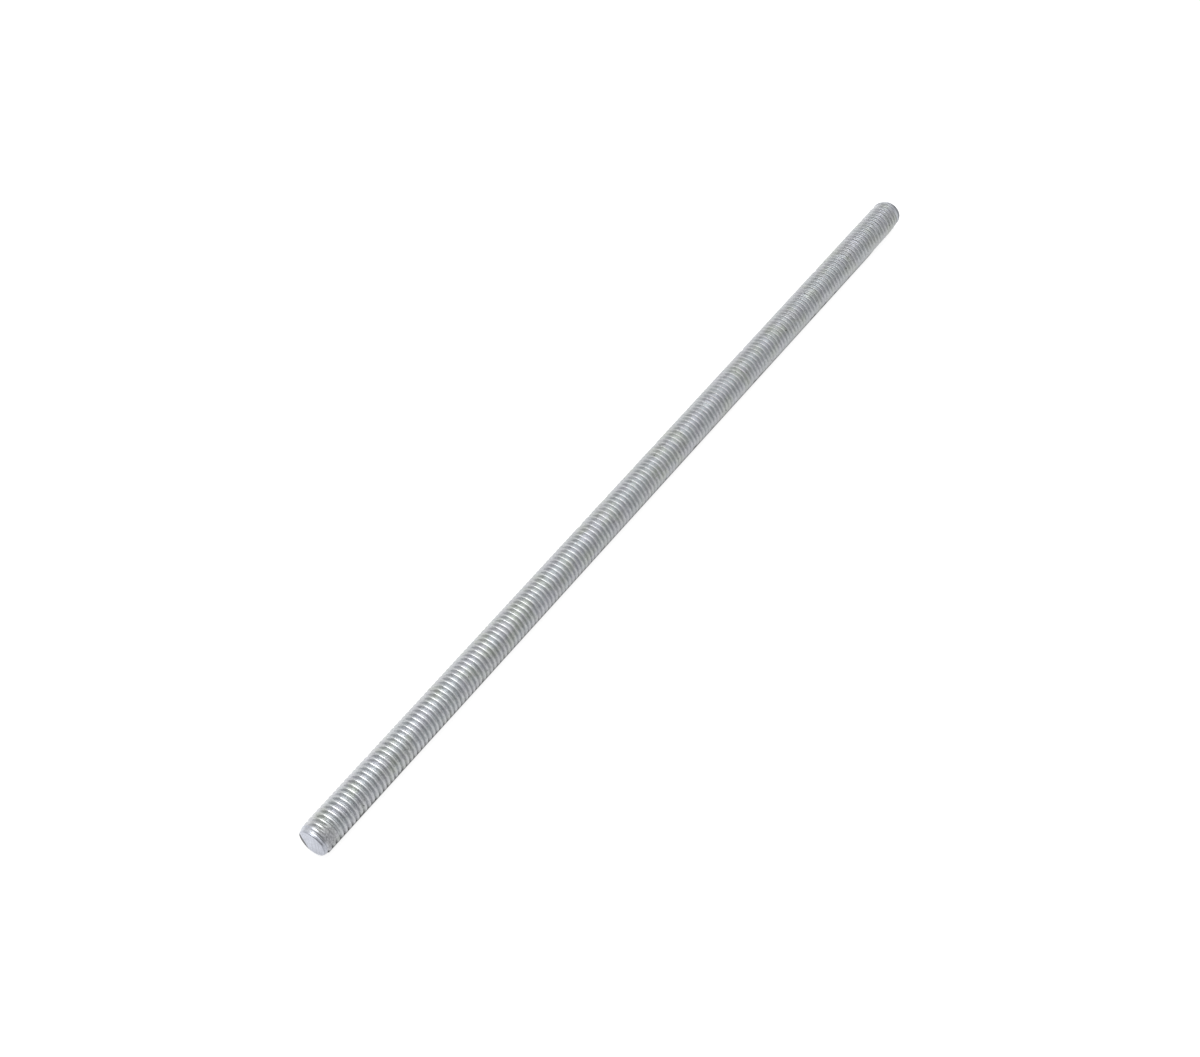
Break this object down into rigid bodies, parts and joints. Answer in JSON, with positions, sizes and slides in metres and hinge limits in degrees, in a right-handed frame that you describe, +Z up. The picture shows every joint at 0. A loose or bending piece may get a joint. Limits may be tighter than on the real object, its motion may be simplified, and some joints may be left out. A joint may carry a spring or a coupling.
{
  "type": "threaded rod",
  "caption": "Straight round steel rod with a right-hand metric thread over its whole length and a flat, chamfered cut face at each end.",
  "frame": {"origin": "on the rod's axis, half-way between its two end faces", "axes": "+X along the rod's axis; +Y and +Z square to it, with +Z up as the rod lies; a helix of the thread climbs towards +X as it turns right-handed about +X"},
  "size_m": [0.184, 0.006, 0.006],
  "materials": {
    "zinc_plated_steel": "bright zinc plating, semi-gloss, light cool grey with a faint straw and lavender cast"
  },
  "bodies": {
    "root": {"threaded_rod": "zinc_plated_steel"}
  },
  "joints": []
}
